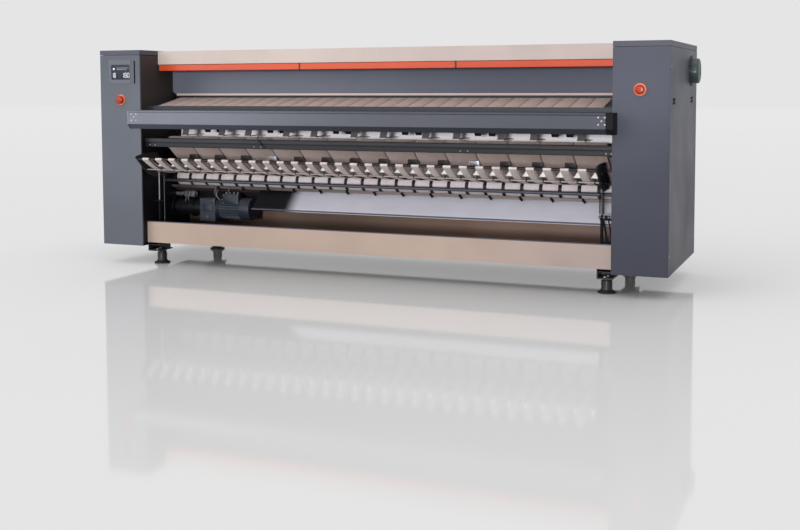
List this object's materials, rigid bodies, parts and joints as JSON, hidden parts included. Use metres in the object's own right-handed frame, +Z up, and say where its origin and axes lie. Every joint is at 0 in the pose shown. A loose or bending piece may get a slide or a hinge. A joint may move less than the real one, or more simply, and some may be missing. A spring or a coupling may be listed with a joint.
{
  "type": "flatwork ironer",
  "caption": "Cylinder ironer for flat linen: feed table with belts, heated cylinder, tilting comb conveyor, front return and collection tray between two tall drive pillars.",
  "frame": {"origin": "on the floor, under the middle of the whole machine's box", "axes": "+X along the cylinder to the operator's right, +Y from the operator into the machine, +Z up"},
  "size_m": [4.2074, 1.3164, 1.578],
  "materials": {
    "dark_paint": "satin powder coat",
    "cream_paint": "satin powder coat",
    "grey_paint": "satin powder coat",
    "black_paint": "satin powder coat",
    "orange_plastic": "satin",
    "safety_orange": "satin",
    "stop_red": "gloss",
    "beam_aluminium": "brushed and anodised",
    "black_plastic": "matte",
    "white_plastic": "matte",
    "polished_steel": "polished",
    "stainless": "brushed",
    "plain_steel": "turned",
    "zinc_steel": "zinc plated",
    "cast_housing": "painted casting",
    "motor_paint": "painted casting",
    "valve_body": "satin",
    "feed_fabric": "woven",
    "comb_fabric": "woven",
    "ironing_fabric": "needled felt"
  },
  "bodies": {
    "frame": {"base_frame": "zinc_steel", "beam_brackets": "black_paint", "beam_end_caps": "black_plastic", "bearings": "cast_housing", "belt_guides": "black_plastic", "collection_tray": "cream_paint", "delivery_slide": "stainless", "display_unit": "black_plastic", "drive_chains": "plain_steel", "drive_motor": "motor_paint", "fan_housing": "zinc_steel", "fan_motor": "motor_paint", "feed_belts": "feed_fabric", "feed_table_frame": "beam_aluminium", "front_beam": "beam_aluminium", "gearbox": "cast_housing", "guard_brackets": "black_paint", "guard_panel": "grey_paint", "ironing_belts": "ironing_fabric", "levelling_feet": "zinc_steel", "lift_barrels": "zinc_steel", "lower_beam": "black_paint", "outfeed_bar": "black_paint", "outfeed_belts": "feed_fabric", "outfeed_guide": "cream_paint", "pillar_covers": "dark_paint", "pillar_front_panels": "dark_paint", "pillar_top_caps": "dark_paint", "rear_cover": "cream_paint", "scraper_arms": "black_paint", "scraper_feet": "stainless", "screws": "plain_steel", "service_inlets": "plain_steel", "side_frames": "grey_paint", "stop_plates": "safety_orange", "top_cover": "cream_paint", "valve_block": "valve_body"},
    "cylinder": {"heated_cylinder": "polished_steel"},
    "feed_front_roller_body": {"feed_front_roller": "plain_steel"},
    "feed_rear_roller_body": {"feed_rear_roller": "plain_steel"},
    "exit_roller_body": {"exit_roller": "plain_steel"},
    "drive_roller_body": {"drive_roller": "plain_steel"},
    "rear_roller_body": {"rear_roller": "plain_steel"},
    "top_roller_body": {"top_roller": "plain_steel"},
    "nip_roller_body": {"nip_roller": "plain_steel"},
    "outfeed_front_roller_body": {"outfeed_front_roller": "plain_steel"},
    "outfeed_rear_roller_body": {"outfeed_rear_roller": "plain_steel"},
    "comb_roller_body": {"comb_roller": "plain_steel"},
    "motor_sprocket_body": {"motor_sprocket": "plain_steel"},
    "fan_rotor": {"fan_impeller": "zinc_steel"},
    "finger_guard_left_flap": {"finger_guard_left": "orange_plastic"},
    "finger_guard_middle_flap": {"finger_guard_middle": "orange_plastic"},
    "finger_guard_right_flap": {"finger_guard_right": "orange_plastic"},
    "stop_button_left_body": {"stop_button_left": "stop_red"},
    "stop_button_right_body": {"stop_button_right": "stop_red"},
    "comb": {"comb_side_plates": "black_paint", "comb_bars": "plain_steel", "comb_belts": "comb_fabric", "comb_fingers": "white_plastic"},
    "lift": {"lift_rods": "polished_steel"}
  },
  "joints": [
    {"name": "cylinder_spin", "type": "hinge", "parent": "frame", "child": "cylinder", "pos_m": [-0.02625, 0.15425, 0.96], "axis": [1, 0, 0], "continuous": true},
    {"name": "feed_front_spin", "type": "hinge", "parent": "frame", "child": "feed_front_roller_body", "pos_m": [-0.02625, -0.38575, 1.151], "axis": [1, 0, 0], "continuous": true},
    {"name": "feed_rear_spin", "type": "hinge", "parent": "frame", "child": "feed_rear_roller_body", "pos_m": [-0.02625, -0.10575, 1.196], "axis": [1, 0, 0], "continuous": true},
    {"name": "exit_spin", "type": "hinge", "parent": "frame", "child": "exit_roller_body", "pos_m": [-0.02625, -0.24075, 0.895], "axis": [1, 0, 0], "continuous": true},
    {"name": "drive_spin", "type": "hinge", "parent": "frame", "child": "drive_roller_body", "pos_m": [-0.02625, 0.19425, 0.56], "axis": [1, 0, 0], "continuous": true},
    {"name": "rear_spin", "type": "hinge", "parent": "frame", "child": "rear_roller_body", "pos_m": [-0.02625, 0.50425, 0.7], "axis": [1, 0, 0], "continuous": true},
    {"name": "top_spin", "type": "hinge", "parent": "frame", "child": "top_roller_body", "pos_m": [-0.02625, 0.50425, 1.33], "axis": [1, 0, 0], "continuous": true},
    {"name": "nip_spin", "type": "hinge", "parent": "frame", "child": "nip_roller_body", "pos_m": [-0.02625, 0.01425, 1.29], "axis": [1, 0, 0], "continuous": true},
    {"name": "outfeed_front_spin", "type": "hinge", "parent": "frame", "child": "outfeed_front_roller_body", "pos_m": [-0.02625, -0.07075, 0.619], "axis": [1, 0, 0], "continuous": true},
    {"name": "outfeed_rear_spin", "type": "hinge", "parent": "frame", "child": "outfeed_rear_roller_body", "pos_m": [-0.02625, 0.23425, 0.385], "axis": [1, 0, 0], "continuous": true},
    {"name": "comb_roller_spin", "type": "hinge", "parent": "frame", "child": "comb_roller_body", "pos_m": [-0.02625, -0.25575, 0.681], "axis": [1, 0, 0], "continuous": true},
    {"name": "motor_spin", "type": "hinge", "parent": "frame", "child": "motor_sprocket_body", "pos_m": [-0.02625, -0.04075, 0.392], "axis": [1, 0, 0], "continuous": true},
    {"name": "fan_spin", "type": "hinge", "parent": "frame", "child": "fan_rotor", "pos_m": [1.84875, 0.36425, 1.404], "axis": [1, 0, 0], "continuous": true},
    {"name": "finger_guard_left_swing", "type": "hinge", "parent": "frame", "child": "finger_guard_left_flap", "pos_m": [-1.15625, -0.26875, 1.466], "axis": [1, 0, 0], "range_deg": [0, 12], "stiffness_Nm_per_rad": 2},
    {"name": "finger_guard_middle_swing", "type": "hinge", "parent": "frame", "child": "finger_guard_middle_flap", "pos_m": [0.01975, -0.26875, 1.466], "axis": [1, 0, 0], "range_deg": [0, 12], "stiffness_Nm_per_rad": 2},
    {"name": "finger_guard_right_swing", "type": "hinge", "parent": "frame", "child": "finger_guard_right_flap", "pos_m": [1.13875, -0.26875, 1.466], "axis": [1, 0, 0], "range_deg": [0, 12], "stiffness_Nm_per_rad": 2},
    {"name": "stop_button_left_press", "type": "slide", "parent": "frame", "child": "stop_button_left_body", "axis": [0, 1, 0], "range_m": [0, 0.005]},
    {"name": "stop_button_right_press", "type": "slide", "parent": "frame", "child": "stop_button_right_body", "axis": [0, 1, 0], "range_m": [0, 0.005]},
    {"name": "comb_tilt", "type": "hinge", "parent": "frame", "child": "comb", "pos_m": [-0.05375, -0.25575, 0.681], "axis": [1, 0, 0], "range_deg": [0, 15]},
    {"name": "lift_slide", "type": "slide", "parent": "frame", "child": "lift", "axis": [0, 0, 1], "range_m": [-0.023, 0]}
  ],
  "couplings": [
    {"joint": "feed_front_spin", "follows": "cylinder_spin", "ratio": 12.5},
    {"joint": "feed_rear_spin", "follows": "cylinder_spin", "ratio": 8.3333},
    {"joint": "exit_spin", "follows": "cylinder_spin", "ratio": -5.5556},
    {"joint": "drive_spin", "follows": "cylinder_spin", "ratio": -5.5556},
    {"joint": "rear_spin", "follows": "cylinder_spin", "ratio": -5.5556},
    {"joint": "top_spin", "follows": "cylinder_spin", "ratio": -5.5556},
    {"joint": "nip_spin", "follows": "cylinder_spin", "ratio": -5.5556},
    {"joint": "outfeed_front_spin", "follows": "cylinder_spin", "ratio": -5.5556},
    {"joint": "outfeed_rear_spin", "follows": "cylinder_spin", "ratio": -5.5556},
    {"joint": "comb_roller_spin", "follows": "cylinder_spin", "ratio": 22.727},
    {"joint": "motor_spin", "follows": "cylinder_spin", "ratio": -8.3333},
    {"joint": "lift_slide", "follows": "comb_tilt", "m_per_rad": -0.0856}
  ]
}
